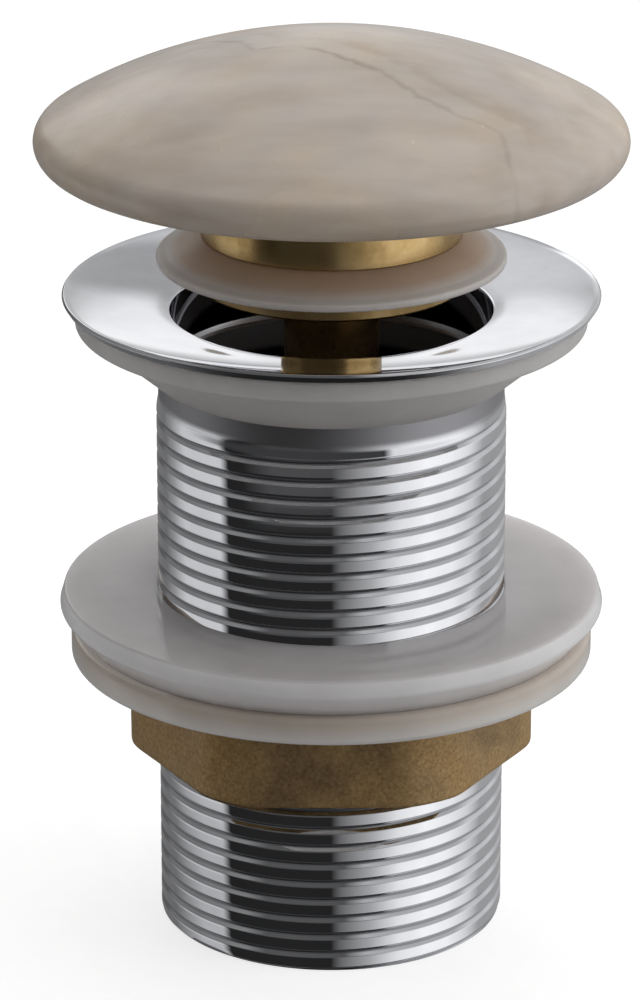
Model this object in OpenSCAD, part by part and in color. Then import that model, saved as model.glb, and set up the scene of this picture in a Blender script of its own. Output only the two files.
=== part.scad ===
// Pop up basin waste, unslotted, with a mushroom cap of stone.
// Pressing the cap shuts the plug on the dished flange, and a click latch inside the barrel
// holds it there until it is pressed again. A backnut clamps the flange to the basin.
// The origin is the centre of the tail's lower end, and Z is the common axis. Millimetres.

/* [Tail] */
// Outside diameter of the tail thread, a G 1 1/4 pipe thread
thread_d = 41.91; // [40:0.01:48]
// Height of the basin seat over the end of the tail
tail_len = 75.4; // [68:0.1:110]
// Length of full-size thread that stays free below the backnut, for the trap
trap_len = 21.6; // [12:0.1:26]
// How far the thread above the trap's length is rolled under full size, on the radius
shank_ease = 0.25; // [0.22:0.01:0.4]
// Bevel at the end of the tail
end_bevel = 0.6; // [0.2:0.1:1.2]
// Wall of the tail round the waterway below the spider
outlet_wall = 3.15; // [2.6:0.05:6]
// Wall of the tail round the waterway above the spider
inlet_wall = 2.3; // [1.8:0.05:2.8]
// Depth of the wide mouth below the basin seat
mouth_depth = 5.5; // [3:0.5:10]

/* [Flange] */
// Diameter of the flange
flange_d = 64.1; // [62:0.1:75]
// Thickness of the flange at its rounded rim
rim_t = 1; // [0.8:0.1:2]
// Fall of the dished top from the rim to the mouth
dish_fall = 1.9; // [1.2:0.1:2.8]
// Radius of the roll from the dish into the mouth
roll_r = 1.6; // [0.8:0.1:2]
// How far the neck widens to meet the basin seat, on the radius
skirt_w = 2.3; // [1.5:0.1:4]
// Height of the cone from the neck out to the flange
skirt_h = 2; // [1:0.1:4]

/* [Flange seal] */
// How far the seal stays inside the flange's rim, on the radius
seal_inset = 1.55; // [0.8:0.05:3]
// Height from the basin seat to the underside of the rim
flange_seal_t = 3; // [2:0.1:4]
// How far the seal's cone starts inside its edge, on the radius
seal_cone_inset = 1.8; // [1:0.1:5]
// Height of the cone that centres the seal in the basin's hole
seal_cone_h = 6.7; // [3:0.1:9]
// Wall of the cone at its lower end
seal_foot_wall = 0.55; // [0.3:0.05:1]

/* [Backnut and washers] */
// Wall of the hexagonal backnut at the middle of its flats
nut_wall = 1.7; // [1.4:0.1:8]
// How much of each corner of the hexagon is turned off, on the radius
nut_corner_cut = 1.8; // [0.6:0.1:2.4]
// Height of the backnut
nut_h = 11.7; // [8:0.1:14]
// Bevel on the turned corners, at both ends of the backnut
nut_bevel = 0.6; // [0.2:0.1:1]
// Bevel at both ends of the nut's bore
nut_lead = 0.9; // [0.6:0.1:1.2]
// Diameter of the flat slip washer
slip_d = 63.1; // [58:0.1:66]
// Thickness of the slip washer
slip_t = 3.4; // [2:0.1:5]
// Largest diameter of the tapered washer
taper_d = 65.8; // [60:0.1:70]
// Diameter of the tapered washer where it lies on the slip washer
taper_foot_d = 60.4; // [56:0.1:60.6]
// Thickness of the tapered washer
taper_t = 4.5; // [3:0.1:6]
// Rounding of the washers' edges
washer_round = 0.7; // [0.3:0.1:1]
// Slack of the washers round the thread, on the radius
washer_slack = 0.35; // [0.2:0.05:0.6]

/* [Spider] */
// Height of the spider's underside over the end of the tail
spider_z = 27; // [20:0.5:32]
// Height of the spider's arms
arm_h = 6; // [4:0.5:9]
// Thickness of the arms
arm_w = 3.4; // [2:0.1:5]
// Number of arms
arm_n = 4; // [3:1:6]
// Diameter of the hub
hub_d = 15; // [12.5:0.5:18]
// Height of the hub over the arms
hub_rise = 1; // [0.5:0.5:3]

/* [Stem] */
// Diameter of the threaded stud at the foot of the stem
stud_d = 8; // [7:0.1:9]
// Width across the flats of the lock nut
locknut_af = 13; // [11:0.5:14]
// Height of the lock nut
locknut_h = 4; // [2.5:0.5:6]
// Diameter of the cross pin that runs in the latch track
pin_d = 1.6; // [1.2:0.1:2]

/* [Barrel and latch] */
// Diameter of the barrel
barrel_d = 11.4; // [10.6:0.1:14]
// Wall of the barrel round the index rotor
barrel_wall = 0.85; // [0.6:0.05:0.9]
// Diameter of the barrel's bore round the spring
spring_room_d = 8.4; // [8.2:0.1:8.6]
// Height of the bush's flange at the end of the barrel
bush_flange_t = 1.5; // [1:0.1:3]
// Length of the bush inside the barrel
bush_len = 5; // [4:0.5:8]
// Travel of the plug from open to fully pressed
stroke = 5.3; // [4:0.1:7]
// How far the plug springs back from fully pressed when it latches
latch_back = 0.8; // [0.5:0.1:1.2]
// Turn of the index rotor for each leg of the track
leg_turn = 45; // [45]
// Wall of the index rotor, with the latch track in it
rotor_t = 1.55; // [1.35:0.05:1.8]
// Depth of the latch track
track_depth = 0.95; // [0.7:0.05:1]
// Height left above and below the latch track
rotor_rim = 1.6; // [1:0.1:3]
// Thickness of the spring's wire
wire_d = 0.8; // [0.6:0.05:1]
// Free turns of the spring, between its closed ends
spring_turns = 6; // [4:1:9]

/* [Plug] */
// How far the lip seal reaches over the mouth, on the radius
lip_reach = 1.6; // [1:0.1:2.4]
// Thickness of the lip
lip_t = 0.9; // [0.6:0.1:1.4]
// Diameter of the plug's lower flange
plug_flange_d = 30; // [28:0.5:33]
// Thickness of the plug's lower flange
plug_flange_t = 2.5; // [1.5:0.1:4]
// Diameter of the plug's collar under the cap
collar_d = 31; // [28:0.5:36]
// Height of the collar
collar_h = 6.3; // [4:0.1:10]
// Diameter at the bottom of the seal's groove
groove_d = 25; // [20:0.5:26]
// Height of the seal's groove
groove_h = 3.4; // [2.6:0.1:5]

/* [Cap] */
// Diameter of the stone cap
cap_d = 70.2; // [56:0.1:80]
// Rounding of the cap's edge
cap_round = 2.7; // [1.5:0.1:4]
// Height of the crown over the middle of the edge
crown_h = 11.6; // [7:0.1:18]
// Depth of the underside below the middle of the edge
belly_h = 6.1; // [4.5:0.1:9]
// Depth of the flat ground into the underside for the collar
spot_depth = 0.8; // [0.75:0.05:1.5]
// Diameter of the threaded insert in the cap
insert_d = 12; // [11:0.5:16]
// Length of the insert
insert_len = 9; // [6:0.5:11]

/* [Hidden] */
$fn = 96;

// Clearances: faces that are screwed, bonded or pressed together, and faces that run
fit_gap = 0.05;
run_gap = 0.15;
lip_gap = 0.3;
press_gap = 0.7;
nut_slack = 0.1;
trap_gap = 0.4;
bond_gap = 0.2;
// Bevels of turned edges and of the smallest edges
edge_bevel = 0.4;
fine_bevel = 0.2;
locknut_bevel = 0.8;
// How far a cut runs past the face that it opens
over = 1;

// Tail, waterway and flange. The mouth is wider than the waterway by its step
mouth_step = 0.8;
thread_r = thread_d / 2;
shank_r = thread_r - shank_ease;
outlet_r = thread_r - outlet_wall;
inlet_r = shank_r - inlet_wall;
skirt_r = shank_r + skirt_w;
seat_z = tail_len;
rim_r = rim_t / 2;
rim_c = [flange_d / 2 - rim_r, seat_z + flange_seal_t + rim_r];
rim_top = rim_c[1] + rim_r;
dish_low = rim_top - dish_fall;
roll_c = [inlet_r + mouth_step + roll_r, dish_low - roll_r];
mouth_r = roll_c[0] - roll_r;
shoulder_z = seat_z - mouth_depth;

// Backnut and washers. Both nuts are hexagons
nut_sides = 6;
nut_z = trap_len + trap_gap;
nut_bore_r = thread_r + nut_slack;
slip_z = nut_z + nut_h;
taper_z = slip_z + slip_t;
washer_bore_r = thread_r + washer_slack;

// Spider: where the first arm points, half the thickness of the arms' edges, and how far the
// arms run into the wall
arm_turn = 45;
arm_tip = 0.5;
arm_root = 0.6;

// Stem, from the spider up. The stud starts inside the hub and shows above the lock nut
stud_inset = 0.5;
stud_rise = 0.3;
hub_top = spider_z + arm_h + hub_rise;
locknut_top = hub_top + locknut_h;
stud_top = locknut_top + stud_rise;

// Barrel and latch, from the bottom up with the plug open
bush_z = stud_top + stroke + press_gap;
barrel_z = bush_z + bush_flange_t;
bush_top = barrel_z + bush_len;
barrel_bore_r = barrel_d / 2 - barrel_wall;
track_w = pin_d + 2 * run_gap;
rotor_z = bush_top + run_gap;
rotor_h = stroke + track_w + 2 * rotor_rim;
rotor_r = barrel_bore_r - run_gap;
rotor_bore_r = rotor_r - rotor_t;
stem_r = rotor_bore_r - run_gap;
track_r = rotor_bore_r + track_depth;
track_z = rotor_z + rotor_rim + track_w / 2;
pin_len = 2 * (track_r - run_gap);
ledge_z = rotor_z + rotor_h + run_gap;
oring_d = 0.8;
oring_slot = 1.2;
oring_z = barrel_z + bush_len / 2;

// Spring, on a seat at the top of the stem that shows above the ledge in the barrel
stem_rise = 1;
stem_top = ledge_z + stem_rise;
spring_seat_t = 1.5;
spigot_h = 2;
spring_z = stem_top + spring_seat_t + fit_gap;
spring_r = spring_room_d / 2 - wire_d / 2 - 2 * run_gap;

// Plug, from the lip's lower edge when the plug is open
groove_z = dish_low + stroke + lip_gap;
lip_r = mouth_r + lip_reach;
plug_z = groove_z - plug_flange_t;
collar_z = groove_z + groove_h;
collar_top = collar_z + collar_h;
screw_step = 0.7;
ceiling_t = 1.6;
screw_r = barrel_d / 2 - screw_step;
ceiling_z = collar_z;
screw_top = ceiling_z + ceiling_t;
spring_h = ceiling_z - fit_gap - spring_z;

// Cap: a lens of two spheres that run tangent into the round edge
cap_low = collar_top - spot_depth;
edge_c = [cap_d / 2 - cap_round, cap_low + belly_h];
function lens_radius(reach, height) =
    (reach * reach + height * height - cap_round * cap_round) / (2 * (height - cap_round));
crown_r = lens_radius(edge_c[0], crown_h);
belly_r = lens_radius(edge_c[0], belly_h);
crown_z = edge_c[1] + crown_h - crown_r;
belly_z = cap_low + belly_r;
cap_stud_r = stud_d / 2;
cap_stud_gap = 1;

// Colours
stone = "#b9a893";
turned_brass = "#b18f4c";
cast_brass = "#8a6a30";
chrome = "#c8ccd2";
silicone = "#dcdcd8";
polythene = "#e6e6e2";
acetal = "#33353a";
steel = "#aeb1b5";
rubber = "#1f1f1f";

// A disc with a bore and bevels on its outer edges
module bevelled_ring(r, bore, h, bevel) {
    rotate_extrude()
        polygon([[bore, 0], [r - bevel, 0], [r, bevel], [r, h - bevel], [r - bevel, h], [bore, h]]);
}

// Chrome-plated body: tail, neck and flange turned in one, with the spider across the waterway
module waste_body() {
    color(chrome) {
        rotate_extrude()
            body_profile();
        spider();
    }
}

module body_profile() {
    polygon([
        [outlet_r, 0],
        [thread_r - end_bevel, 0],
        [thread_r, end_bevel],
        [thread_r, trap_len],
        [shank_r, trap_len],
        [shank_r, seat_z - skirt_h],
        [skirt_r, seat_z],
        [rim_c[0], rim_c[1] - rim_r],
        [rim_c[0], rim_top],
        [roll_c[0], dish_low],
        [mouth_r, roll_c[1]],
        [mouth_r, shoulder_z],
        [inlet_r, shoulder_z - (mouth_r - inlet_r)],
        [inlet_r, spider_z],
        [outlet_r, spider_z]
    ]);
    translate(rim_c)
        circle(rim_r);
    translate(roll_c)
        circle(roll_r);
}

// Arms with pointed edges upstream and downstream, and a hub tapped for the stem
module spider() {
    reach = inlet_r + arm_root;
    side = arm_w / 2;
    nose = side - arm_tip;
    difference() {
        union() {
            translate([0, 0, spider_z])
                bevelled_ring(hub_d / 2, 0, arm_h + hub_rise, edge_bevel);
            for (i = [0 : arm_n - 1])
                rotate([0, 0, arm_turn + i * 360 / arm_n])
                    translate([0, 0, spider_z])
                        rotate([90, 0, 90])
                            linear_extrude(reach)
                                polygon([[-arm_tip, 0], [arm_tip, 0], [side, nose],
                                    [side, arm_h - nose], [arm_tip, arm_h], [-arm_tip, arm_h],
                                    [-side, arm_h - nose], [-side, nose]]);
        }
        translate([0, 0, spider_z - over])
            cylinder(r = stud_d / 2 + fit_gap, h = arm_h + hub_rise + 2 * over);
    }
}

// Soft ring under the flange: a wedge that lies on the basin, and a cone that centres it in the hole
module flange_seal() {
    slope = flange_seal_t / (rim_c[0] - skirt_r);
    inner = [skirt_r + fit_gap, seat_z - fit_gap];
    outer = flange_d / 2 - seal_inset;
    bore = shank_r + fit_gap;
    foot_z = seat_z - seal_cone_h;
    color(silicone)
        rotate_extrude()
            polygon([[bore, foot_z], [bore + seal_foot_wall, foot_z], [outer - seal_cone_inset, seat_z],
                [outer - edge_bevel, seat_z], [outer, seat_z + edge_bevel],
                [outer, inner[1] + slope * (outer - inner[0])], inner, [bore, inner[1] - skirt_h]]);
}

// Washer under the basin: its side tapers in towards the slip washer
module taper_washer() {
    foot_r = taper_foot_d / 2;
    top_r = taper_d / 2 - washer_round;
    top_z = taper_z + taper_t;
    color(polythene)
        rotate_extrude() {
            polygon([[washer_bore_r, taper_z], [foot_r, taper_z], [taper_d / 2, top_z - washer_round],
                [top_r, top_z - washer_round], [top_r, top_z], [washer_bore_r, top_z]]);
            translate([top_r, top_z - washer_round])
                circle(washer_round);
        }
}

// Flat washer that the backnut turns against
module slip_washer() {
    edge_r = slip_d / 2 - washer_round;
    color(polythene)
        rotate_extrude() {
            translate([washer_bore_r, slip_z])
                square([edge_r - washer_bore_r, slip_t]);
            translate([washer_bore_r, slip_z + washer_round])
                square([slip_d / 2 - washer_bore_r, slip_t - 2 * washer_round]);
            for (z = [slip_z + washer_round, slip_z + slip_t - washer_round])
                translate([edge_r, z])
                    circle(washer_round);
        }
}

// Cast hexagonal nut, its corners turned off
module backnut() {
    hexagon_r = (nut_bore_r + nut_wall) / cos(180 / nut_sides);
    lead_r = nut_bore_r + nut_lead + over;
    color(cast_brass)
        translate([0, 0, nut_z])
            difference() {
                intersection() {
                    cylinder(r = hexagon_r, h = nut_h, $fn = nut_sides);
                    bevelled_ring(hexagon_r - nut_corner_cut, 0, nut_h, nut_bevel);
                }
                rotate_extrude()
                    polygon([[0, -over], [lead_r, -over], [nut_bore_r, nut_lead],
                        [nut_bore_r, nut_h - nut_lead], [lead_r, nut_h + over], [0, nut_h + over]]);
            }
}

// Fixed stem: a stud screwed into the hub and a slim shaft that the barrel slides over
module stem() {
    color(turned_brass)
        difference() {
            union() {
                translate([0, 0, spider_z + stud_inset])
                    bevelled_ring(stud_d / 2, 0, stud_top - spider_z - stud_inset, edge_bevel);
                translate([0, 0, hub_top])
                    bevelled_ring(stem_r, 0, stem_top - hub_top, edge_bevel);
            }
            translate([0, 0, track_z])
                rotate([0, 90, 0])
                    cylinder(r = pin_d / 2 + fit_gap, h = 4 * stem_r, center = true);
        }
}

// Thin hexagon nut that locks the stud in the hub
module stem_locknut() {
    corner_r = locknut_af / 2 / cos(180 / nut_sides);
    color(turned_brass)
        translate([0, 0, hub_top])
            difference() {
                intersection() {
                    cylinder(r = corner_r, h = locknut_h, $fn = nut_sides);
                    bevelled_ring(corner_r - 2 * fit_gap, 0, locknut_h, locknut_bevel);
                }
                translate([0, 0, -over])
                    cylinder(r = stud_d / 2 + fit_gap, h = locknut_h + 2 * over);
            }
}

// Cross pin of the stem, with an end in the track on either side
module guide_pin() {
    color(steel)
        translate([-pin_len / 2, 0, track_z])
            rotate([0, 90, 0])
                bevelled_ring(pin_d / 2, 0, pin_len, fine_bevel);
}

// Cup on top of the stem that centres the spring
module spring_seat() {
    seat_r = spring_room_d / 2 - run_gap;
    spigot_r = spring_r - wire_d / 2 - run_gap;
    color(acetal)
        translate([0, 0, stem_top]) {
            bevelled_ring(seat_r, 0, spring_seat_t, fine_bevel);
            bevelled_ring(spigot_r, 0, spring_seat_t + spigot_h, edge_bevel);
        }
}

// Compression spring: closed turns at both ends, open turns between them
wire_sides = 8;
turn_steps = 20;
closed_pitch = wire_d + run_gap;
function coil_height(turn) =
    let (open_h = spring_h - wire_d - 2 * closed_pitch)
    turn < 1 ? closed_pitch * turn
    : turn > spring_turns + 1 ? closed_pitch * (turn - spring_turns) + open_h
    : closed_pitch + open_h * (turn - 1) / spring_turns;

module return_spring() {
    steps = (spring_turns + 2) * turn_steps;
    points = [for (i = [0 : steps], k = [0 : wire_sides - 1])
        let (around = 360 * i / turn_steps, tilt = 360 * k / wire_sides,
            r = spring_r + wire_d / 2 * cos(tilt))
        [r * cos(around), r * sin(around), coil_height(i / turn_steps) + wire_d / 2 * (1 + sin(tilt))]];
    function at(i, k) = i * wire_sides + k % wire_sides;
    sides = [for (i = [0 : steps - 1], k = [0 : wire_sides - 1])
        [at(i, k), at(i + 1, k), at(i + 1, k + 1), at(i, k + 1)]];
    ends = [[for (k = [0 : wire_sides - 1]) at(0, k)], [for (k = [wire_sides - 1 : -1 : 0]) at(steps, k)]];
    color(steel)
        translate([0, 0, spring_z])
            polyhedron(points, concat(sides, ends));
}

// Latch track, unrolled: a closed zigzag round the rotor's bore. Each corner is an angle on the
// rotor and a height over the open notch: open, pressed, latched, pressed, and so on round
track_corners = [[0, 0], [leg_turn, stroke], [2 * leg_turn, stroke - latch_back], [3 * leg_turn, stroke]];
track_legs = 360 / leg_turn;
leg_steps = 5;
per_deg = (rotor_bore_r + track_r) / 2 * PI / 180;
function track_corner(i) =
    let (lap = floor(i / 4) * 4 * leg_turn)
    [(track_corners[i % 4][0] + lap) * per_deg, track_corners[i % 4][1]];
function leg_normal(i) =
    let (run = track_corner(i % 4 + 1) - track_corner(i % 4))
    [-run[1], run[0]] / norm(run);
// Edge of the track at a corner, mitred between the two legs that meet there
function track_edge(i, side) =
    let (before = leg_normal(i + 3), after = leg_normal(i))
    track_corner(i) + side * track_w / 2 * (before + after) / (1 + before * after);
function on_rotor(flat, r) = [r * cos(flat[0] / per_deg), r * sin(flat[0] / per_deg), flat[1]];

// Sleeve that turns in the barrel as the pin runs along the track cut in its bore
module index_rotor() {
    color(acetal)
        difference() {
            translate([0, 0, rotor_z])
                bevelled_ring(rotor_r, rotor_bore_r, rotor_h, edge_bevel);
            translate([0, 0, track_z])
                latch_track();
        }
}

module latch_track() {
    inner_r = rotor_bore_r - track_depth / 2;
    sections = track_legs * leg_steps;
    points = [for (i = [0 : track_legs - 1], s = [0 : leg_steps - 1], k = [0 : 3])
        let (side = k < 2 ? 1 : -1, r = k == 0 || k == 3 ? inner_r : track_r,
            from = track_edge(i, side), to = track_edge(i + 1, side))
        on_rotor(from + (to - from) * s / leg_steps, r)];
    function at(j, k) = 4 * (j % sections) + k % 4;
    faces = [for (j = [0 : sections - 1], k = [0 : 3])
        each [[at(j, k), at(j + 1, k + 1), at(j, k + 1)], [at(j, k), at(j + 1, k), at(j + 1, k + 1)]]];
    polyhedron(points, faces);
}

// Bush screwed into the end of the barrel, with a groove for the O-ring
module end_bush() {
    bore_r = stem_r + run_gap;
    color(turned_brass)
        rotate_extrude()
            difference() {
                polygon([[bore_r + edge_bevel, bush_z], [barrel_d / 2 - edge_bevel, bush_z],
                    [barrel_d / 2, bush_z + edge_bevel], [barrel_d / 2, barrel_z],
                    [barrel_bore_r - fit_gap, barrel_z], [barrel_bore_r - fit_gap, bush_top],
                    [bore_r, bush_top], [bore_r, bush_z + edge_bevel]]);
                translate([0, oring_z - oring_slot / 2])
                    square([bore_r + oring_d, oring_slot]);
            }
}

// O-ring that wipes the stem
module bush_oring() {
    color(rubber)
        rotate_extrude()
            translate([stem_r + fit_gap + oring_d / 2, oring_z])
                circle(oring_d / 2);
}

// Blind tube screwed up into the plug: wide round the rotor, narrow round the spring
module barrel() {
    color(turned_brass)
        rotate_extrude()
            polygon([[barrel_bore_r, barrel_z], [barrel_d / 2, barrel_z], [barrel_d / 2, plug_z],
                [screw_r, plug_z], [screw_r, screw_top - edge_bevel], [screw_r - edge_bevel, screw_top],
                [0, screw_top], [0, ceiling_z], [spring_room_d / 2, ceiling_z],
                [spring_room_d / 2, ledge_z], [barrel_bore_r, ledge_z]]);
}

// Turned plug: lower flange, seal groove, collar and the stud that carries the cap
module plug_base() {
    flange_r = plug_flange_d / 2;
    collar_r = collar_d / 2;
    hole_r = screw_r + fit_gap;
    stud_end = collar_top + insert_len - cap_stud_gap;
    color(turned_brass)
        rotate_extrude()
            polygon([[hole_r, plug_z], [flange_r - edge_bevel, plug_z], [flange_r, plug_z + edge_bevel],
                [flange_r, groove_z], [groove_d / 2, groove_z], [groove_d / 2, collar_z],
                [collar_r - edge_bevel, collar_z], [collar_r, collar_z + edge_bevel],
                [collar_r, collar_top - edge_bevel], [collar_r - edge_bevel, collar_top],
                [cap_stud_r, collar_top], [cap_stud_r, stud_end - edge_bevel],
                [cap_stud_r - edge_bevel, stud_end], [0, stud_end],
                [0, screw_top + fit_gap], [hole_r, screw_top + fit_gap]]);
}

// Lip seal stretched into the groove, its skirt falling outwards to the lip
module plug_seal() {
    inner = groove_d / 2 + fit_gap;
    low = groove_z + fit_gap;
    high = collar_z - fit_gap;
    root_r = plug_flange_d / 2 + 2 * lip_gap;
    color(silicone)
        rotate_extrude() {
            polygon([[inner, low], [plug_flange_d / 2, low], [root_r, low + groove_h / 2],
                [lip_r - lip_t / 2, groove_z], [lip_r - lip_t / 2, groove_z + lip_t],
                [collar_d / 2 + lip_gap, high], [inner, high]]);
            translate([lip_r - lip_t / 2, groove_z + lip_t / 2])
                circle(lip_t / 2);
        }
}

// Threaded insert bonded into the cap
module cap_insert() {
    color(turned_brass)
        translate([0, 0, collar_top])
            bevelled_ring(insert_d / 2, cap_stud_r + fit_gap, insert_len, edge_bevel);
}

// Stone cap: crown and belly are spheres that run tangent into the round edge
module stone_cap() {
    insert_hole_r = insert_d / 2 + fit_gap;
    color(stone)
        difference() {
            rotate_extrude()
                cap_profile();
            translate([0, 0, cap_low - over])
                cylinder(r = collar_d / 2 + run_gap, h = over + spot_depth);
            translate([0, 0, cap_low - over])
                cylinder(r = insert_hole_r, h = over + spot_depth + insert_len + bond_gap);
        }
}

module cap_profile() {
    crown_touch = edge_c + cap_d * [edge_c[0], edge_c[1] - crown_z] / crown_r;
    belly_touch = edge_c + cap_d * [edge_c[0], edge_c[1] - belly_z] / belly_r;
    intersection() {
        translate([0, crown_z])
            circle(crown_r, $fn = 360);
        translate([0, belly_z])
            circle(belly_r, $fn = 720);
        polygon([[0, cap_low - cap_d], belly_touch, edge_c, crown_touch, [0, cap_low + cap_d]]);
    }
    translate(edge_c)
        circle(cap_round);
}

waste_body();
flange_seal();
taper_washer();
slip_washer();
backnut();
stem();
stem_locknut();
guide_pin();
spring_seat();
return_spring();
index_rotor();
end_bush();
bush_oring();
barrel();
plug_base();
plug_seal();
cap_insert();
stone_cap();
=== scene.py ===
"""Dressed model of a pop up basin waste: stone cap, brass plug, chrome body and threaded tail.

Every piece is built round the waste's own axis, Z, in millimetres, and turned to metres as it is made.
"""
import math

import bmesh
import bpy
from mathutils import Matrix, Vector, noise


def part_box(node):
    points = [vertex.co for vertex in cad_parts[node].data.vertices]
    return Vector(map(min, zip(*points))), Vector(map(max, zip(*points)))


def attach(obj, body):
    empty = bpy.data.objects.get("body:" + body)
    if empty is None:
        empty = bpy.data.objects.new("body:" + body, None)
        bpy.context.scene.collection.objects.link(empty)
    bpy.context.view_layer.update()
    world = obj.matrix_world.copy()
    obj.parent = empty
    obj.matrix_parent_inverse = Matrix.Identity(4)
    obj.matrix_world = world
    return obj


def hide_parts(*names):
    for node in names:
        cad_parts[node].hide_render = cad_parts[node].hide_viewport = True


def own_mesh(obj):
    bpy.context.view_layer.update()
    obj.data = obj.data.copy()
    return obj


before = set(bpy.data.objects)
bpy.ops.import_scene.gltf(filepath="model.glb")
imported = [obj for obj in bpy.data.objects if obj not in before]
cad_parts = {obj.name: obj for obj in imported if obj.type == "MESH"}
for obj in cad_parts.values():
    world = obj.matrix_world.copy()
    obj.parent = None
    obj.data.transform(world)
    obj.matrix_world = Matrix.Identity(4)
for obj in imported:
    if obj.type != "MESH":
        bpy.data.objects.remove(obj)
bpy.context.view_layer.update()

MM = 0.001
TAU = 2 * math.pi


# What the frame gives

def spans(node):
    """Outer radius, lowest level and highest level of a node round the axis, in millimetres."""
    low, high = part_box(node)
    return high[0] / MM, low[2] / MM, high[2] / MM


flange_r, tail_end, rim_top = spans("waste_body")
seal_r, seal_foot, seal_top = spans("flange_seal")
taper_r, taper_low, taper_top = spans("taper_washer")
slip_r, slip_low, slip_top = spans("slip_washer")
nut_corner_r, nut_low, nut_top = spans("backnut")
nut_flat_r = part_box("backnut")[1][1] / MM
collar_r, plug_low, stud_end = spans("plug_base")
lip_r, lip_low, seal_high = spans("plug_seal")
barrel_r, barrel_low, screw_top = spans("barrel")
cap_r, cap_low, cap_top = spans("stone_cap")
coil_r, coil_low, coil_top = spans("return_spring")
hub_top = spans("stem_locknut")[1]
insert_r, collar_top, insert_top = spans("cap_insert")


# Colours and shader nodes

def linear(code):
    """An sRGB hex colour as linear red, green, blue and alpha."""
    parts = [int(code[i:i + 2], 16) / 255 for i in (1, 3, 5)]
    return [c / 12.92 if c <= 0.04045 else ((c + 0.055) / 1.055) ** 2.4 for c in parts] + [1]


def per(size):
    """Texture scale that gives a pattern features of this many millimetres."""
    return 1 / (size * MM)


def put(tree, kind, inputs, stops=(), **settings):
    """Adds a shader node. inputs gives each socket a value or the output that feeds it; stops fill a ramp."""
    node = tree.nodes.new("ShaderNode" + kind)
    for name, value in settings.items():
        setattr(node, name, value)
    if stops:
        marks = node.color_ramp.elements
        while len(marks) < len(stops):
            marks.new(1)
        for mark, (place, colour) in zip(marks, stops):
            mark.position = place
            mark.color = linear(colour) if isinstance(colour, str) else (colour, colour, colour, 1)
    for name, value in inputs.items():
        if isinstance(value, bpy.types.NodeSocket):
            tree.links.new(value, node.inputs[name])
        else:
            node.inputs[name].default_value = value
    return node


def finish_of(name):
    """A new material: its tree, its shader and the place on the piece, in metres."""
    material = bpy.data.materials.new(name)
    material.use_nodes = True
    tree = material.node_tree
    place = put(tree, "TexCoord", {}).outputs["Object"]
    return material, tree, tree.nodes["Principled BSDF"], place


def wire(tree, shader, **inputs):
    """Feeds the shader's sockets: base_color for Base Color, and so on."""
    for name, value in inputs.items():
        socket = shader.inputs[name.replace("_", " ").title().replace("Ior", "IOR")]
        if isinstance(value, bpy.types.NodeSocket):
            tree.links.new(value, socket)
        else:
            socket.default_value = value


def grain(tree, place, size, detail, roughness=0.5):
    """Noise, 0 to 1, with features of this many millimetres."""
    return put(tree, "TexNoise", {"Vector": place, "Scale": per(size), "Detail": detail,
                                  "Roughness": roughness}).outputs["Fac"]


def spread(tree, value, low=0.0, high=1.0, start=0.0, end=1.0):
    """A value's span from low to high, laid out from start to end and held there outside it."""
    return put(tree, "MapRange", {"Value": value, "From Min": low, "From Max": high,
                                  "To Min": start, "To Max": end}).outputs[0]


def ramp(tree, value, *stops):
    """A tone for a value from 0 to 1: each stop has a place and a hex colour or a grey."""
    return put(tree, "ValToRGB", {"Fac": value}, stops=stops).outputs[0]


def calc(tree, operation, *values):
    """What an operation makes of two or three values."""
    return put(tree, "Math", dict(enumerate(values)), operation=operation).outputs[0]


def mixed(tree, share, first, second, blend="MIX"):
    """The first colour with this share of the second mixed in, or blended with it in another way."""
    return put(tree, "Mix", {0: share, 6: first, 7: second}, data_type="RGBA", blend_type=blend).outputs[2]


def bumped(tree, relief, strength, depth):
    """Normal of a surface with this relief, its depth in millimetres."""
    return put(tree, "Bump", {"Strength": strength, "Distance": depth * MM, "Height": relief}).outputs[0]


def from_axis(tree, place):
    """A place's distance from the axis, and its level."""
    x, y, level = put(tree, "SeparateXYZ", {"Vector": place}).outputs
    flat = put(tree, "CombineXYZ", {"X": x, "Y": y}).outputs[0]
    return put(tree, "VectorMath", {0: flat}, operation="LENGTH").outputs["Value"], level


def seen_directly(tree):
    """1 for what the camera sees straight or through a clear piece, 0 for the rest."""
    rays = put(tree, "LightPath", {}).outputs
    return calc(tree, "ADD", rays["Is Camera Ray"], rays["Is Transmission Ray"])


# Finishes

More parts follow.
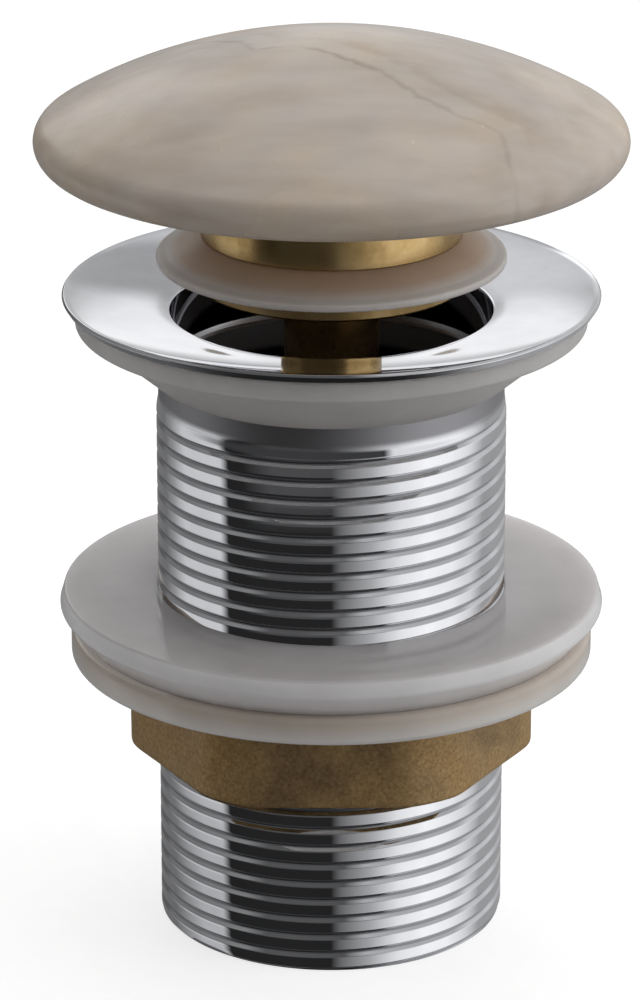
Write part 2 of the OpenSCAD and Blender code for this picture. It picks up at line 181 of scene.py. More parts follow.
def honed_beige_marble():
    """Beige marble, ground and honed: soft clouds of cream and grey, one healed crack, a dull sheen."""
    material, tree, shader, place = finish_of("honed_beige_marble")
    # Clouds about 26 mm across, and finer combed streaks 5 mm long in the bedding
    clouds = grain(tree, place, 26, 3, 0.55)
    body = ramp(tree, clouds, (0.3, "#c1b8b0"), (0.46, "#cbbfb4"), (0.58, "#d3c4b3"), (0.72, "#c6bcb3"))
    bedding = put(tree, "Mapping", {"Vector": place, "Rotation": (0.2, 0.1, 0.35), "Scale": (0.35, 1, 2.2)})
    combed = ramp(tree, grain(tree, bedding.outputs[0], 5, 4), (0.3, "#efebe6"), (0.65, "#ffffff"))
    base = mixed(tree, 1.0, body, combed, "MULTIPLY")
    # The healed crack runs across the crown at 45 degrees. bends has its offset from a straight line at
    # places of its run, both in millimetres; a ramp holds them, over 80 mm of run and 20 mm of offset
    half_run, half_offset = 40, 10
    bends = [(-35, -6), (-10.4, -4.9), (-5.4, -7.1), (-2, -3.7), (6, -3.1), (12, -2.8), (17.5, -3.4),
             (22.7, -2), (26.7, 0.5), (30.7, -2.4), (34.6, -5.2)]
    slanted = put(tree, "Mapping", {"Vector": place, "Rotation": (0, 0, math.radians(45))})
    along, across = put(tree, "SeparateXYZ", {"Vector": slanted.outputs[0]}).outputs[:2]
    run = spread(tree, along, -half_run * MM, half_run * MM)
    line = ramp(tree, run, *[((s / half_run + 1) / 2, (t / half_offset + 1) / 2) for s, t in bends])
    offset = spread(tree, line, 0, 1, -half_offset * MM, half_offset * MM)
    # Its edge is ragged over 2 mm
    shake = spread(tree, grain(tree, place, 2.2, 5, 0.65), 0, 1, -1.1 * MM, 1.1 * MM)
    gap = calc(tree, "ADD", calc(tree, "SUBTRACT", across, offset), shake)
    # From 12 mm before the crack to 12 mm past it: dark hairline, pale fill, brown halo
    healed = ramp(tree, spread(tree, gap, -12 * MM, 12 * MM),
                  (0.3, "#ffffff"), (0.47, "#f6f4f0"), (0.493, "#d3cec7"), (0.505, "#dad6d0"),
                  (0.53, "#fbfaf8"), (0.62, "#f6f4f1"), (0.67, "#e2dad1"), (0.73, "#e9e3db"), (0.95, "#ffffff"))
    # It shows well only near the top, and comes and goes over about 9 mm
    faint = ramp(tree, grain(tree, place, 9, 2), (0.38, 0.3), (0.6, 1.0))
    strength = ramp(tree, run, (0.3, 0.6), (0.4, 1.0), (0.56, 1.0), (0.7, 0.6), (0.9, 0.55))
    colour = mixed(tree, calc(tree, "MULTIPLY", faint, strength), base, healed, "MULTIPLY")
    # Honing leaves a fine tooth of about 0.5 mm and a patchy sheen
    tooth = grain(tree, place, 0.5, 3)
    wire(tree, shader, base_color=colour, roughness=spread(tree, clouds, 0, 1, 0.22, 0.32), ior=1.5,
         normal=bumped(tree, tooth, 0.25, 0.03))
    return material


def bright_chrome_plate():
    """Chrome plated on turned brass: a blue-white mirror, matt on the raw neck, with painted shade in the
    waterway and thread roots.
    """
    material, tree, shader, place = finish_of("bright_chrome_plate")
    # The plating ripples over about 4 mm, and wiping leaves faint clouds 9 mm across
    ripple = grain(tree, place, 4, 2)
    clouds = grain(tree, place, 9, 4, 0.6)
    tint = ramp(tree, clouds, (0.35, "#e9eaee"), (0.7, "#dcdde1"))
    wiped = spread(tree, clouds, 0.35, 0.7, 0.012, 0.035)
    radius, level = from_axis(tree, place)
    height = spread(tree, level, 0, rim_top * MM)
    reach = spread(tree, radius, 18 * MM, 21 * MM)
    # Painted shade where shade falls into the hole and the groove: the waterway, up to 18.5 mm from the axis,
    # is painted dark and dull, and so are the thread's roots, from 19.5 to 20.6 mm
    hole = ramp(tree, reach, (0.15, 1.0), (0.18, 0.0))
    groove = ramp(tree, reach, (0.5, 0.0), (0.53, 0.7), (0.82, 0.7), (0.89, 0.0))
    threaded = ramp(tree, height, (0.85, 1.0), (0.86, 0.0))
    # The painted shade: dark, rougher chrome down the waterway and in the thread's roots
    painted_recess_shade = calc(tree, "MAXIMUM", hole, calc(tree, "MULTIPLY", groove, threaded))
    plate = mixed(tree, painted_recess_shade, tint, linear("#3c3c40"))
    # Only the neck between the thread and the seal is left as it was turned
    neck = ramp(tree, height, (0.833, 0.0), (0.843, 1.0), (0.87, 1.0), (0.9, 0.0))
    colour = mixed(tree, neck, plate, linear("#a9a9ad"))
    dull = calc(tree, "MULTIPLY_ADD", neck, 0.5, wiped)
    rough = calc(tree, "MULTIPLY_ADD", painted_recess_shade, 0.25, dull)
    wire(tree, shader, base_color=colour, metallic=1.0, roughness=rough,
         normal=bumped(tree, ripple, 0.05, 0.02))
    return material


def turned_brass():
    """Free-cutting brass from the lathe: warm yellow, fine rings from the tool, a little tarnish."""
    material, tree, shader, place = finish_of("turned_brass")
    # Rings round the axis on walls and on faces alike: noise over radius and level only. A real tool
    # leaves them 0.1 mm apart; 0.4 mm is as fine as shows
    radius, level = from_axis(tree, place)
    lathe = put(tree, "CombineXYZ", {"X": radius, "Z": level})
    rings = grain(tree, lathe.outputs[0], 0.4, 2)
    # Tarnish in patches of about 5 mm
    tarnish = grain(tree, place, 5, 5, 0.62)
    colour = ramp(tree, tarnish, (0.3, "#a98b5a"), (0.5, "#c2a470"), (0.68, "#cfb483"))
    wire(tree, shader, base_color=colour, metallic=1.0, roughness=spread(tree, tarnish, 0.3, 0.7, 0.32, 0.2),
         normal=bumped(tree, rings, 0.35, 0.02))
    return material


def sand_cast_brass():
    """Brass cast in sand and left raw: dull brown-gold, grainy, brighter where it was handled."""
    material, tree, shader, place = finish_of("sand_cast_brass")
    # Sand grain of about 0.45 mm with coarser lumps of 2.5 mm, and stains 11 mm across
    sand = grain(tree, place, 0.45, 3, 0.7)
    lumps = grain(tree, place, 2.5, 3)
    speck = ramp(tree, sand, (0.3, "#8a734e"), (0.5, "#a68d63"), (0.7, "#bba276"))
    stain = ramp(tree, grain(tree, place, 11, 3), (0.35, "#cfc6bd"), (0.5, "#fff6ea"), (0.7, "#ffeed4"))
    colour = mixed(tree, 1.0, speck, stain, "MULTIPLY")
    relief = calc(tree, "ADD", sand, lumps)
    wire(tree, shader, base_color=colour, metallic=0.3, roughness=0.5, normal=bumped(tree, relief, 0.6, 0.08))
    return material


def milky_polythene(name, shade, light, low, high, painted_shade_tones):
    """Low-density polythene, moulded: waxy, milky white, light soaks a few millimetres into it. Painted shade
    runs over its height, from its lower face to its upper one, darker where less light falls."""
    material, tree, shader, place = finish_of(name)
    # Flow marks of about 7 mm and a moulded surface with a 1.2 mm ripple
    flow = grain(tree, place, 7, 3)
    ripple = grain(tree, place, 1.2, 2)
    milk = ramp(tree, flow, (0.3, shade), (0.7, light))
    level = put(tree, "SeparateXYZ", {"Vector": place}).outputs[2]
    # Painted shade by level: the tones darken the parts of the piece that get less light
    tone = ramp(tree, spread(tree, level, low * MM, high * MM), *painted_shade_tones)
    wire(tree, shader, base_color=mixed(tree, 1.0, milk, tone, "MULTIPLY"),
         roughness=spread(tree, flow, 0, 1, 0.1, 0.2), ior=1.51, normal=bumped(tree, ripple, 0.2, 0.02),
         subsurface_weight=0.8, subsurface_radius=(1.0, 0.95, 0.95), subsurface_scale=8 * MM)
    return material


def clear_silicone(name, shade, light, clearness, metal_r, painted_shade_tones):
    """Silicone rubber, moulded uncoloured: grey and cloudy, with painted shade, tinted like the metal it lies
    on, which ends at metal_r. The painted shade runs over the next few millimetres."""
    material, tree, shader, place = finish_of(name)
    # Clouds 6 mm across, and dust that shows as 0.8 mm specks
    clouds = grain(tree, place, 6, 3)
    dust = grain(tree, place, 0.8, 2)
    clear = ramp(tree, clouds, (0.3, shade), (0.7, light))
    tone_width = 5.4
    radius = from_axis(tree, place)[0]
    # Painted shade near the metal, tinted like it: grey by the chrome under the flange seal, brown by the brass
    # under the lip
    painted_metal_shade = ramp(tree, spread(tree, radius, metal_r * MM, (metal_r + tone_width) * MM), *painted_shade_tones)
    wire(tree, shader, base_color=mixed(tree, 1.0, clear, painted_metal_shade, "MULTIPLY"),
         roughness=spread(tree, dust, 0, 1, 0.3, 0.46), ior=1.41, normal=bumped(tree, dust, 0.15, 0.02),
         subsurface_weight=0.5, subsurface_radius=(1.0, 0.95, 0.9), subsurface_scale=4 * MM,
         transmission_weight=clearness)
    return material


def plain_finish(name, dark, light, size, metallic, rough_low, rough_high):
    """A hidden piece's finish: two tones in patches of this size, with the sheen that goes with them."""
    material, tree, shader, place = finish_of(name)
    patches = grain(tree, place, size, 4)
    wire(tree, shader, base_color=ramp(tree, patches, (0.35, dark), (0.65, light)), metallic=metallic,
         roughness=spread(tree, patches, 0, 1, rough_low, rough_high), normal=bumped(tree, patches, 0.2, 0.01))
    return material


taper_crown = taper_top + 0.6     # as the photograph shows it, still clear of the seal at full travel

marble = honed_beige_marble()
chrome = bright_chrome_plate()
brass = turned_brass()
cast = sand_cast_brass()
# Painted shade on the taper washer's upper face, and a warm painted shade on the slip washer's side under the
# overhang
polythene = milky_polythene("milky_polythene", "#dcdadb", "#e5e3e4", taper_low, taper_crown,
                            [(0.0, "#ffffff"), (0.93, "#ffffff"), (0.98, "#dedbda")])
cream_polythene = milky_polythene("cream_polythene", "#ddd9d5", "#e7e3df", slip_low, slip_top,
                                  [(0.1, "#ffffff"), (0.8, "#e0d6cc")])
# Both seals get painted shade near their metal; the lip's is brown like the brass beneath it
silicone = clear_silicone("clear_silicone", "#dfdcda", "#e9e7e5", 0.35, 20,
                          [(0.2, "#f2f0ee"), (0.6, "#ffffff")])
lip_silicone = clear_silicone("milky_silicone", "#f0ece9", "#f8f5f3", 0.1, 15,
                              [(0.1, "#d9bca0"), (0.6, "#dfcab8"), (0.85, "#f2eeea")])
# Drawn wire shows faint die marks; acetal is smooth and waxy; nitrile rubber is dusty and dull
steel = plain_finish("drawn_spring_steel", "#8d9096", "#b4b7bb", 1.5, 1.0, 0.2, 0.35)
acetal = plain_finish("moulded_acetal", "#27292d", "#34363b", 3, 0.0, 0.3, 0.42)
rubber = plain_finish("moulded_nitrile_rubber", "#161616", "#242424", 0.7, 0.0, 0.55, 0.75)


# Making meshes

ARC_STEPS = 6
COLUMNS = 192
SHARP = math.radians(30)    # edges sharper than this are kept hard
WELD = 0.002 * MM


def softened(corners, steps=ARC_STEPS):
    """A turned section's outline: each corner (radius, level, rounding) becomes an arc."""
    points = []
    for i, (r, z, rounding) in enumerate(corners):
        here = Vector((r, z))
        to_last = (Vector(corners[i - 1][:2]) - here).normalized()
        to_next = (Vector(corners[(i + 1) % len(corners)][:2]) - here).normalized()
        half = to_last.angle(to_next) / 2
        if not rounding or half > math.radians(89.5):
            points.append(here)
            continue
        centre = here + (to_last + to_next).normalized() * rounding / math.sin(half)
        start = here + to_last * rounding / math.tan(half) - centre
        end = here + to_next * rounding / math.tan(half) - centre
        points += [centre + rounding * start.slerp(end, k / steps) for k in range(steps + 1)]
    return points


def ring(outline_point, columns):
    """A circle of points at an outline's (radius, level)."""
    r, z = outline_point
    return [(r * math.cos(TAU * c / columns), r * math.sin(TAU * c / columns), z) for c in range(columns)]


def skin(rings, lead=0, closed=False):
    """Quads over a stack of rings. With a lead, each ring's end meets the ring that many rows up."""
    columns, rows = len(rings[0]), len(rings)

    def at(row, column):
        if column == columns:
            row, column = row + lead, 0
        return (row % rows if closed else min(row, rows - 1)) * columns + column

    points = [p for one in rings for p in one]
    faces = [(at(r, c), at(r, c + 1), at(r + 1, c + 1), at(r + 1, c))
             for r in range(rows if closed else rows - 1) for c in range(columns)]
    return points, faces


def capped(rings):
    """Skin over a stack of rings, with a face on each end."""
    points, faces = skin(rings)
    count = len(rings[0])
    return points, faces + [list(range(count)), list(range(len(points) - count, len(points)))]


def turned(corners, columns=160, closed=True):
    """Skin turned from an outline of (radius, level, rounding) corners."""
    return skin([ring(p, columns) for p in softened(corners)], closed=closed)


def linked(name, data):
    """A new object in the scene."""
    obj = bpy.data.objects.new(name, data)
    bpy.context.scene.collection.objects.link(obj)
    return obj


def piece(name, body, slot, material, *skins, replaces=()):
    """Joins skins into one closed mesh, smooth but for its sharp edges, and mounts it."""
    points, faces = [], []
    for some_points, some_faces in skins:
        faces += [[len(points) + i for i in dict.fromkeys(face)] for face in some_faces]
        points += [[k * MM for k in p] for p in some_points]
    mesh = bpy.data.meshes.new(name)
    mesh.from_pydata(points, [], [face for face in faces if len(face) > 2])
    work = bmesh.new()
    work.from_mesh(mesh)
    bmesh.ops.remove_doubles(work, verts=work.verts, dist=WELD)
    bmesh.ops.dissolve_degenerate(work, edges=work.edges, dist=WELD)
    bmesh.ops.recalc_face_normals(work, faces=work.faces)
    for face in work.faces:
        face.smooth = True
    work.to_mesh(mesh)
    work.free()
    mesh.set_sharp_from_angle(angle=SHARP)
    mesh.materials.append(material)
    obj = linked(name, mesh)
    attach(obj, body)
    if replaces:
        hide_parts(*replaces)
    return obj


# Chrome body: thread, neck, flange and waterway

PITCH = 2.309          # 11 turns to the inch
crest_r = 20.955
crest_round = 0.13
groove_w = 0.96        # at the crests, which are left broad and flat
groove_d = 0.45
root_w = 0.08
root_round = 0.08
start_bevel = 0.33
thread_shift = 0.25    # share of a turn that brings the grooves to the photo's places
thread_top = 67.0      # where the neck starts
fade_end = 0.4         # under thread_top: where the last turn has run out
fade_turns = 0.8
neck_r = 20.72
neck_top = 73.4        # where the neck flares out under the flange
flare_r = 23.0
flange_under = 75.4    # the flange's underside, next to the flare
brim_low = 78.3        # and at its rim
inlet_r = 18.4
mouth_r = 19.2
outlet_r = 17.8
spider_low = 27.0
shoulder = 69.9        # step in the bore under the mouth


def run_out(cut_r, z):
    """Radius of a point of the thread, which runs out into the neck above and is bevelled at the tail's end."""
    left = min(1, max(0, (thread_top - fade_end - z) / (fade_turns * PITCH)))
    depth = left * left * (3 - 2 * left)
    return min(neck_r + (cut_r - neck_r) * depth, crest_r - start_bevel + z)


def thread_skin():
    """The tail's screw thread: a grid whose rows follow the helix, each turn a V between flats."""
    root_r = crest_r - groove_d
    turn_line = softened([(crest_r, -PITCH / 2, 0), (crest_r, -PITCH / 3, 0),
                          (crest_r, -groove_w / 2, crest_round), (root_r, -root_w / 2, root_round),
                          (root_r, root_w / 2, root_round), (crest_r, groove_w / 2, crest_round),
                          (crest_r, PITCH / 3, 0)], 4)
    rings = []
    for turn in range(-2, math.ceil(thread_top / PITCH) + 1):
        for cut_r, rise in turn_line:
            row = []
            for column in range(COLUMNS):
                share = column / COLUMNS
                z = min(max((turn + share + 0.5 - thread_shift) * PITCH + rise, 0), thread_top)
                r = run_out(cut_r, z)
                row.append((r * math.cos(TAU * share), r * math.sin(TAU * share), z))
            rings.append(row)
    return skin(rings, lead=len(turn_line))


dish_depth = 2.01
dish_sag = 0.17        # of the bowl between mouth and rim
rim_drop = 0.14        # and of the steeper turn at the rim
mouth_drop = 0.12      # and at the mouth
dish_rows = 28
row_step = 0.4


def dish(reach):
    """Level of the dished flange top at a radius: a shallow bowl, steeper close to the rim and to the mouth."""
    share = (reach - mouth_r) / (flange_r - mouth_r)
    at_rim = 1 - math.exp((reach - flange_r) / 1.2)
    at_mouth = math.exp((mouth_r - reach) / 1.5)
    return (rim_top - dish_depth * (1 - share) - dish_sag * math.sin(math.pi * share)
            - rim_drop * at_rim - mouth_drop * at_mouth)


upper = [(neck_r, thread_top, 0), (neck_r, neck_top, 0.6), (flare_r, flange_under, 0.6),
         (flange_r - 0.5, brim_low, 0.3), (flange_r, rim_top - 0.32, 0.12), (flange_r - 0.25, rim_top, 0.12)]
for k in range(dish_rows):
    reach = flange_r - 0.6 - row_step * k
    upper.append((reach, dish(reach), 0))
upper += [(mouth_r, dish(mouth_r), 0.35), (mouth_r, shoulder + 0.55, 0.05), (mouth_r - 0.27, shoulder, 0.05),
          (inlet_r, shoulder - 0.15, 0.15), (inlet_r, spider_low, 0.2), (outlet_r, spider_low - 0.4, 0.3),
          (outlet_r, tail_end, 0.35), (crest_r - start_bevel, tail_end, 0)]
piece("waste_body_plated", "waste_body", "chrome_plate", chrome, thread_skin(),
      turned(upper, COLUMNS, closed=False), replaces=["waste_body"])


# Spider across the waterway: a bored hub and four arms that flare into hub and wall

ARMS = 4
ARM_STEPS = 16
arm_h = 6.0
arm_w = 3.4
edge_w = 1.0           # of the blade's upper and lower edges
edge_h = 1.2           # over which the blade thins to them
flare_reach = 0.9
flare_most = 1.8
hub_r = 7.5
hub_bore_r = 4.05


def arm_skin(angle):
    """One arm: a rounded blade, swept out from the hub to the wall."""
    along = Vector((math.cos(angle), math.sin(angle), 0))
    side = Vector((-math.sin(angle), math.cos(angle), 0))
    w, e = arm_w / 2, edge_w / 2
    blade = softened([(-e, 0, 0.3), (e, 0, 0.3), (w, edge_h, 0.6), (w, arm_h - edge_h, 0.6), (e, arm_h, 0.3),
                      (-e, arm_h, 0.3), (-w, arm_h - edge_h, 0.6), (-w, edge_h, 0.6)], 3)
    start, end = hub_r - 0.9, inlet_r + 0.5
    rings = []
    for k in range(ARM_STEPS + 1):
        reach = start + (end - start) * k / ARM_STEPS
        at_hub = 0.55 * math.exp((hub_r - reach) / flare_reach)
        at_wall = 0.7 * math.exp((reach - inlet_r) / flare_reach)
        flare = min(1 + at_hub + at_wall, flare_most)
        rings.append([along * reach + side * (x * flare) + Vector((0, 0, spider_low + z)) for x, z in blade])
    return capped(rings)


hub = [(hub_bore_r, spider_low, 0.3), (hub_r, spider_low, 0.5), (hub_r, hub_top, 0.5),
       (hub_bore_r, hub_top, 0.3)]
piece("spider", "waste_body", "chrome_plate", chrome, turned(hub, 96),
      *[arm_skin(TAU * (k + 0.5) / ARMS) for k in range(ARMS)])


# Soft seal under the flange

seal_bore = neck_r + 0.04
seal_tip = seal_foot + 0.5     # as the photograph shows it
tip_r = 21.35
cone_r = 28.7
seal = [(seal_bore, seal_tip, 0.15), (tip_r, seal_tip, 0.25), (cone_r, flange_under, 0.7),
        (seal_r, flange_under + 0.05, 0.5), (seal_r, seal_top, 0.2), (flare_r + 0.05, flange_under - 0.08, 0.4),
        (seal_bore, neck_top - 0.1, 0.5)]
piece("flange_seal_moulded", "waste_body", "clear_silicone", silicone, turned(seal), replaces=["flange_seal"])


# Washers

washer_bore = 21.02
taper_foot_r = 30.2
taper_rise = 3.1       # height of the tapered part of its side
taper = [(washer_bore, taper_low, 0.3), (taper_foot_r, taper_low, 0.4), (taper_r, taper_low + taper_rise, 0.6),
         (taper_r - 0.6, taper_crown, 0.4), (washer_bore, taper_crown, 0.12)]
taper_washer = piece("taper_washer_moulded", "washers", "milky_polythene", polythene, turned(taper),
                     replaces=["taper_washer"])
# The photograph's thread shows its lowest turns clear of the washer's reflection
taper_washer.visible_glossy = False
slip = [(washer_bore, slip_low, 0.3), (slip_r, slip_low, 0.7), (slip_r, slip_top, 0.7),
        (washer_bore, slip_top, 0.3)]
piece("slip_washer_moulded", "washers", "milky_polythene", cream_polythene, turned(slip),
      replaces=["slip_washer"])


# Backnut: a hexagon with turned corners, its edges rounded by the casting

NUT_SIDES = 6
nut_bore = 21.06
nut_lead = 0.9         # bevel of the bore's ends
nut_edge = 0.45        # rounding of the outside's ends
corner_blend = 0.22
cast_swell = 0.06
swell_size = 5


def smooth_least(a, b, width):
    """The smaller of two lengths, blended over about this width."""
    return -width * math.log(math.exp(-a / width) + math.exp(-b / width))


def nut_ring(z, columns):
    """The nut's outside at a level, with the slight unevenness of a casting."""
    end = min(z - nut_low, nut_top - z)
    tuck = nut_edge - math.sqrt(nut_edge ** 2 - (nut_edge - end) ** 2) if end < nut_edge else 0
    row = []
    for column in range(columns):
        angle = TAU * column / columns
        off = (angle - math.pi / 2 + math.pi / NUT_SIDES) % (TAU / NUT_SIDES) - math.pi / NUT_SIDES
        r = smooth_least(nut_flat_r / math.cos(off), nut_corner_r, corner_blend) - tuck
        around = Vector((math.cos(angle), math.sin(angle), 0))
        r += cast_swell * noise.noise(around * r / swell_size + Vector((0, 0, z / swell_size)))
        row.append((*(around * min(r, nut_corner_r))[:2], z))
    return row


end_rows = [0, 0.06, 0.15, 0.28, 0.45, 0.8, 1.6]     # distances from each end, close where it rounds
nut_levels = [nut_low + d for d in end_rows + [3, 4.5, 6, 7.5, 9]] + [nut_top - d for d in reversed(end_rows)]
nut_bore_line = softened([(nut_bore + nut_lead, nut_top, 0.2), (nut_bore, nut_top - nut_lead, 0.3),
                          (nut_bore, nut_low + nut_lead, 0.3), (nut_bore + nut_lead, nut_low, 0.2)], 3)
nut_rings = [nut_ring(z, COLUMNS) for z in nut_levels] + [ring(p, COLUMNS) for p in nut_bore_line]
piece("backnut_cast", "backnut", "cast_brass", cast, skin(nut_rings, closed=True), replaces=["backnut"])


# Plug: brass collar and flange, lip seal and barrel

FIT = 0.05             # play between pieces that are pressed or screwed together
groove_r = 12.5
groove_low = lip_low
groove_high = seal_high + FIT
disc_r = 16.0          # the lower flange, as wide and low as the photograph shows it under the lip
disc_low = plug_low - 0.2
screw_r = 5.0
stud_r = 4.0
plug = [(screw_r + FIT, plug_low, 0.2), (barrel_r + 0.2, plug_low, 0), (barrel_r + 0.4, disc_low, 0),
        (disc_r, disc_low, 0.35), (disc_r, groove_low, 0.15), (groove_r, groove_low, 0),
        (groove_r, groove_high, 0), (collar_r, groove_high, 0.1), (collar_r, collar_top, 0.3),
        (stud_r, collar_top, 0.1), (stud_r, stud_end, 0.4), (0, stud_end, 0), (0, screw_top + FIT, 0),
        (screw_r + FIT, screw_top + FIT, 0)]
piece("plug_turned", "plug", "turned_brass", brass, turned(plug), replaces=["plug_base"])

lip_t = 0.9
lip_root_r = 15.0      # where the lip leaves the seal's body
lip_seal = [(groove_r + FIT, groove_low + FIT, 0), (lip_root_r, groove_low + FIT, 0.2),
            (lip_root_r + 0.7, groove_low + 1.6, 0.4), (lip_r - 1.6, lip_low + 0.12, 1.5),
            (lip_r, lip_low, 0.3), (lip_r, lip_low + lip_t, 0.35), (lip_r - 1.2, lip_low + lip_t + 0.25, 2.0),
            (collar_r, seal_high, 0.1), (groove_r + FIT, seal_high, 0)]
piece("plug_seal_moulded", "plug", "clear_silicone", lip_silicone, turned(lip_seal), replaces=["plug_seal"])

barrel_bore = 4.85
spring_room_r = 4.2
spring_room_top = coil_top + FIT
ledge = 61.5           # where the bore steps in to the spring's room
barrel = [(barrel_bore, barrel_low, 0.1), (barrel_r, barrel_low, 0.15), (barrel_r, plug_low, 0.05),
          (screw_r, plug_low, 0), (screw_r, screw_top, 0.3), (0, screw_top, 0), (0, spring_room_top, 0),
          (spring_room_r, spring_room_top, 0), (spring_room_r, ledge, 0), (barrel_bore, ledge, 0)]
piece("barrel_turned", "plug", "turned_brass", brass, turned(barrel, 96), replaces=["barrel"])


# Return spring: closed turns at both ends

WIRE_SIDES = 10
TURN_STEPS = 28
wire_r = 0.4
open_turns = 6
closed_pitch = 0.95


def coil_level(turn):
    """Height of the wire's middle after this many turns."""
    rise = coil_top - coil_low - 2 * wire_r - 2 * closed_pitch
    ends = closed_pitch * (min(turn, 1) + max(0, turn - open_turns - 1))
    return coil_low + wire_r + ends + rise * min(max(turn - 1, 0), open_turns) / open_turns


def wire_ring(turn):
    """A ring of points round the wire after this many turns."""
    away, up = Vector((math.cos(TAU * turn), math.sin(TAU * turn), 0)), Vector((0, 0, 1))
    middle = away * (coil_r - wire_r) + up * coil_level(turn)
    sides = [TAU * s / WIRE_SIDES for s in range(WIRE_SIDES)]
    return [middle + (away * math.cos(side) + up * math.sin(side)) * wire_r for side in sides]


coil = capped([wire_ring(k / TURN_STEPS) for k in range((open_turns + 2) * TURN_STEPS + 1)])
spring = piece("return_spring_coiled", "waste_body", "spring_steel", steel, coil, replaces=["return_spring"])
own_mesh(spring)


# Stone cap: two spheres that run into a round edge, ground by hand

BELLY_STEPS, EDGE_STEPS, CROWN_STEPS = 16, 14, 40
edge_r = 2.7
edge_level = 98.1
edge_mid = cap_r - edge_r
spot_r = collar_r + 0.15
insert_hole = insert_r + FIT
hole_top = insert_top + 0.2


def lens_radius(height):
    """Radius of the sphere that rises this far over the edge's middle and runs tangent into the edge."""
    return (edge_mid ** 2 + height ** 2 - edge_r ** 2) / (2 * (height - edge_r))


def cap_outline():
    """Half section of the cap, from the spot face round the edge to the top and back down the insert's hole."""
    belly, crown = lens_radius(edge_level - cap_low), lens_radius(cap_top - edge_level)
    belly_mid, crown_mid = cap_low + belly, cap_top - crown
    belly_end = math.asin(edge_mid / (belly - edge_r))
    crown_end = math.asin(edge_mid / (crown - edge_r))
    spot_start = math.asin(spot_r / belly)
    points = []
    for k in range(BELLY_STEPS + 1):
        a = spot_start + (belly_end - spot_start) * k / BELLY_STEPS
        points.append((belly * math.sin(a), belly_mid - belly * math.cos(a)))
    for k in range(1, EDGE_STEPS):
        a = belly_end + (math.pi - belly_end - crown_end) * k / EDGE_STEPS
        points.append((edge_mid + edge_r * math.sin(a), edge_level - edge_r * math.cos(a)))
    for k in range(CROWN_STEPS + 1):
        a = crown_end * (1 - k / CROWN_STEPS)
        points.append((crown * math.sin(a), crown_mid + crown * math.cos(a)))
    return points + [(0, hole_top), (insert_hole, hole_top), (insert_hole, collar_top), (spot_r, collar_top)]


def ground(point):
    """A point of the cap's upper side after grinding by hand, which leaves swells of under 0.1 mm."""
    return Vector(point) * (1 - 0.001 * (0.5 + 0.5 * noise.noise(Vector(point) / 17)))


cap_rings = []
for r, z in cap_outline():
    row = ring((r, z), COLUMNS)
    outside = r > spot_r + 0.1 or z > insert_top + 1
    cap_rings.append([ground(p) for p in row] if outside and z > edge_level else row)
piece("stone_cap_honed", "plug", "beige_stone", marble, skin(cap_rings, closed=True), replaces=["stone_cap"])


# Nodes whose solids are right as they are

for node, material in {"stem": brass, "stem_locknut": brass, "end_bush": brass, "cap_insert": brass,
                       "guide_pin": steel, "spring_seat": acetal, "index_rotor": acetal,
                       "bush_oring": rubber}.items():
    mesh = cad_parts[node].data
    mesh.materials.clear()
    mesh.materials.append(material)


# Floor: white where the camera sees it, with the object's shadow on it. The part under the tail shows
# in the waterway's polish, and the rest is left out of reflections, so that the soft boxes reach below it

paper, tree, shader, place = finish_of("white_paper")
# Fibre of about 3 mm
tone = ramp(tree, grain(tree, place, 3, 2), (0.3, "#b2b2b2"), (0.7, "#b8b8b8"))
glow = calc(tree, "MULTIPLY", seen_directly(tree), 0.72)
wire(tree, shader, base_color=tone, roughness=0.9, emission_color=linear("#ffffff"), emission_strength=glow)
floor_level = tail_end - 0.01
under_tail_r = 19
floor_r = 2500


def floor_ring(name, inner, outer):
    """A flat ring of the floor between two radii, in millimetres."""
    points, faces = skin([ring((inner, floor_level), 64), ring((outer, floor_level), 64)])
    mesh = bpy.data.meshes.new(name)
    mesh.from_pydata([[k * MM for k in p] for p in points], [], faces)
    mesh.materials.append(paper)
    obj = linked(name, mesh)
    return obj


floor_ring("floor_under_tail", 0.1, under_tail_r)
floor_ring("floor", under_tail_r, floor_r).visible_glossy = False


# Studio: a sky of soft boxes and a black flag in front, as the metal shows them

world = bpy.data.worlds.new("studio")
world.use_nodes = True
bpy.context.scene.world = world
tree = world.node_tree
way = put(tree, "TexCoord", {}).outputs["Generated"]
x, y, z = put(tree, "SeparateXYZ", {"Vector": way}).outputs
bearing = calc(tree, "ARCTAN2", x, calc(tree, "MULTIPLY", y, -1.0))
compass = spread(tree, bearing, -math.pi, math.pi)

# Light levels at bearings in degrees: 0 is the camera's side, 90 the right, 180 behind the object. The slit
# is a narrow white behind the object, and the window a bright panel to the left of it
low_right = [(6, 0.16), (26, 0.45), (46, 0.95), (66, 1.14), (86, 1.08), (104, 0.8), (119, 0.4), (180, 0.33)]
low_left = [(-180, 0.2), (-140, 0.18), (-127, 0.34), (-112, 0.65), (-78, 0.72), (-72, 0.02)]
slit_right = [(174.4, 0.54), (175.8, 0.66), (177.2, 0.98), (178.6, 1.05), (180, 1.05)]
slit_left = [(-angle, level) for angle, level in reversed(slit_right)]
window = [(-168, 0.8), (-166, 1.4), (-156, 1.4), (-148, 0.2)]
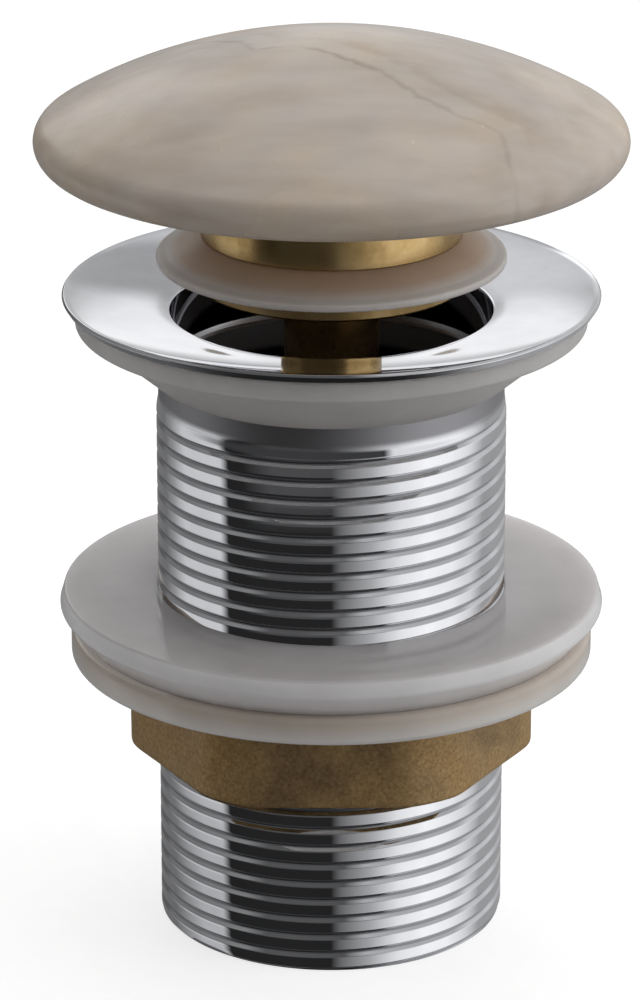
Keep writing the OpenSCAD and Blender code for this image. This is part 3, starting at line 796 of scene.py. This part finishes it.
# Each layer of the sky, from below upwards: the sine of the elevation where it starts and where it is full,
# and its light
layers = [
    (-0.98, -0.8, [(-180, 0.22), (-140, 0.12), (-60, 0.02), (60, 0.02), (110, 0.35), (150, 0.4), (180, 0.25)]),
    (-0.62, -0.5, [(-180, 0.18), (-130, 0.17), (-112, 0.32), (-96, 0.5), (-78, 0.55), (-72, 0.02), (0, 0.02),
                   *low_right]),
    (-0.42, -0.36, [*low_left, (0, 0.02), *low_right]),
    (-0.353, -0.343, [*low_left, (-60, 0.02), (-40, 0.08), (0, 0.08), *low_right]),
    (-0.14, -0.04, [(-180, 0.62), (-165, 0.25), (-150, 0.12), (-79, 0.12), (-70, 0.05), (34, 0.05), (40, 0.85),
                    (100, 0.9), (120, 0.5), (168, 0.5), (180, 0.62)]),
    (0.02, 0.09, [*slit_left, (-165, 0.3), (-150, 0.12), (-79, 0.12), (-70, 0.05), (34, 0.05), (40, 0.85),
                  (100, 0.9), (120, 0.5), *slit_right]),
    (0.15, 0.27, [*slit_left, *window, (-75, 0.15), (-60, 0.06), (34, 0.06), (40, 0.8), (110, 0.8), (150, 0.55),
                  *slit_right]),
    (0.3, 0.38, [(-180, 0.6), (-177.2, 0.78), (-172, 0.66), *window, (-75, 0.2), (-60, 0.15), (10, 0.15),
                 (30, 0.5), (110, 0.7), (150, 0.5), (172, 0.42), (177.2, 0.42), (180, 0.6)]),
    (0.5, 0.6, [(-180, 0.7), (-165, 0.6), (-150, 0.24), (-75, 0.24), (-60, 0.1), (10, 0.1), (30, 0.5),
                (150, 0.5), (180, 0.65)]),
    (0.88, 0.96, [(-180, 0.34), (180, 0.34)])]
sky = (0.015, 0.015, 0.015, 1)
for start, full, levels in layers:
    band = ramp(tree, compass, *[((angle + 180) / 360, level) for angle, level in levels])
    share = put(tree, "MapRange", {"Value": z, "From Min": start, "From Max": full},
                interpolation_type="SMOOTHSTEP")
    sky = mixed(tree, share.outputs[0], sky, band)
seen = mixed(tree, seen_directly(tree), sky, linear("#ffffff"))
tree.links.new(seen, tree.nodes["Background"].inputs["Color"])

lamp_aim = Vector((0, 0, 0.06))


def soft_box(name, place, size, level):
    """A square lamp turned to the object, of a level where 1 lights white paper close by to white."""
    lamp = bpy.data.lights.new(name, "AREA")
    lamp.size = size
    lamp.energy = level * math.pi * size ** 2
    holder = linked(name, lamp)
    holder.location = place
    holder.rotation_euler = (lamp_aim - Vector(place)).to_track_quat("-Z", "Y").to_euler()
    holder.visible_glossy = False


soft_box("soft_box_right", (0.55, -0.1, 0.34), 0.5, 1.75)
soft_box("soft_box_left", (-0.55, -0.05, 0.25), 0.5, 0.7)
soft_box("soft_box_top", (0.0, 0.3, 0.65), 0.6, 1.3)
soft_box("soft_box_front", (0.1, -0.6, 0.32), 0.4, 0.28)


# Camera: the photograph's long lens, 20 degrees above level

tilt = math.radians(20.18)
distance = 0.620
aim = Vector((-0.00136, 0, 0.05267))
lens = bpy.data.cameras.new("camera")
lens.sensor_width = 36
lens.lens = 185.2
camera = linked("camera", lens)
camera.location = aim + distance * Vector((0, -math.cos(tilt), math.sin(tilt)))
camera.rotation_euler = (math.radians(90) - tilt, 0, 0)
bpy.context.scene.camera = camera
bpy.context.scene.view_settings.view_transform = "Standard"
